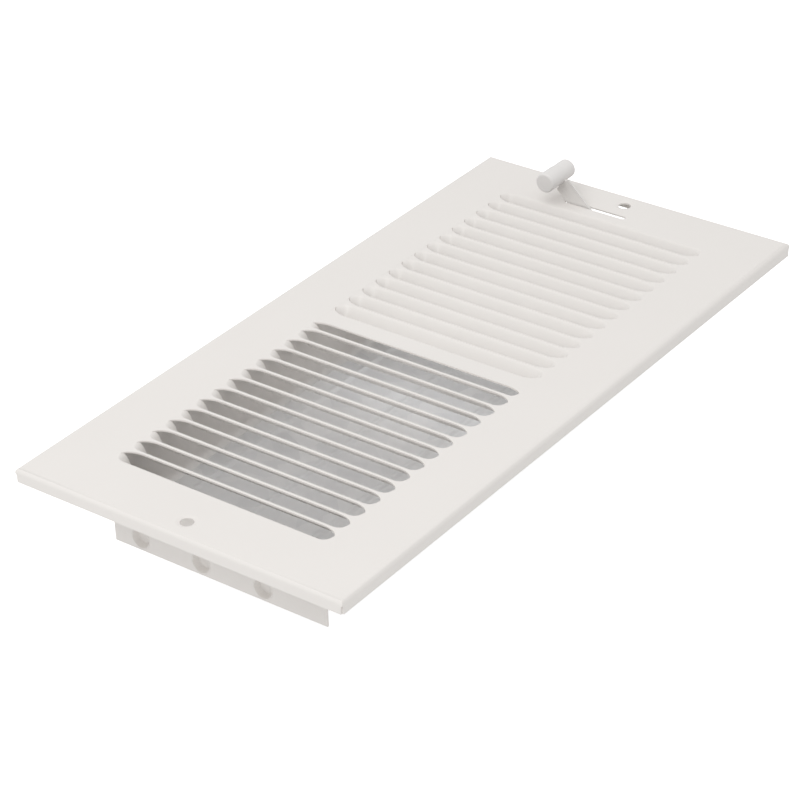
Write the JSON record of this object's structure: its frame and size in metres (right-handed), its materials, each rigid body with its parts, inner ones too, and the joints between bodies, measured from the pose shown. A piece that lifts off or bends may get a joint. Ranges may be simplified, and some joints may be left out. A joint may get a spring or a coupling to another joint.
{
  "type": "ceiling register",
  "caption": "Stamped white steel ceiling register with two-way twisted louvres, a lever-worked multi-blade damper behind them and a screw hole at each end.",
  "frame": {"origin": "midway between the two screw holes, level with the mouths of their bores, 0.4 mm behind the face", "axes": "+X along the length towards the damper lever, +Y across the face towards the side the lever leans to when shut, +Z out of the ceiling into the room"},
  "size_m": [0.2984, 0.146, 0.0559],
  "materials": {
    "white_enamel": "satin white powder coat on stamped steel",
    "galvanised_sheet": "dull galvanised sheet with faint spangle",
    "plated_rivet": "zinc plated",
    "plated_lever": "satin white on flat steel strip",
    "white_vinyl": "moulded off-white vinyl"
  },
  "bodies": {
    "frame": {"face_plate": "white_enamel", "end_plate_plain": "white_enamel", "end_plate_lever": "white_enamel", "side_rail_left": "white_enamel", "side_rail_right": "white_enamel", "lever_rivet": "plated_rivet"},
    "lever": {"lever": "plated_lever", "lever_pin": "plated_rivet", "lever_knob": "white_vinyl"},
    "blade_left": {"blade_left": "galvanised_sheet", "blade_pin_left": "plated_rivet"},
    "blade_middle": {"blade_middle": "galvanised_sheet", "blade_pin_middle": "plated_rivet"},
    "blade_right": {"blade_right": "galvanised_sheet", "blade_pin_right": "plated_rivet"},
    "link": {"link_bar": "galvanised_sheet"}
  },
  "joints": [
    {"name": "lever_swing", "type": "hinge", "parent": "frame", "child": "lever", "pos_m": [0.1309, 0.008, -0.0079], "axis": [1, 0, 0], "range_deg": [0, 90]},
    {"name": "blade_left_turn", "type": "hinge", "parent": "frame", "child": "blade_left", "pos_m": [0, 0.036, -0.0286], "axis": [1, 0, 0], "range_deg": [0, 90]},
    {"name": "blade_middle_turn", "type": "hinge", "parent": "frame", "child": "blade_middle", "pos_m": [0, 0.008, -0.0286], "axis": [1, 0, 0], "range_deg": [0, 90]},
    {"name": "blade_right_turn", "type": "hinge", "parent": "frame", "child": "blade_right", "pos_m": [0, -0.02, -0.0286], "axis": [1, 0, 0], "range_deg": [0, 90]},
    {"name": "link_turn", "type": "hinge", "parent": "blade_middle", "child": "link", "pos_m": [0.1286, -0.0005, -0.0371], "axis": [1, 0, 0], "range_deg": [-90, 0]}
  ],
  "couplings": [
    {"joint": "blade_left_turn", "follows": "lever_swing", "ratio": 1},
    {"joint": "blade_middle_turn", "follows": "lever_swing", "ratio": 1},
    {"joint": "blade_right_turn", "follows": "lever_swing", "ratio": 1},
    {"joint": "link_turn", "follows": "lever_swing", "ratio": -1}
  ]
}
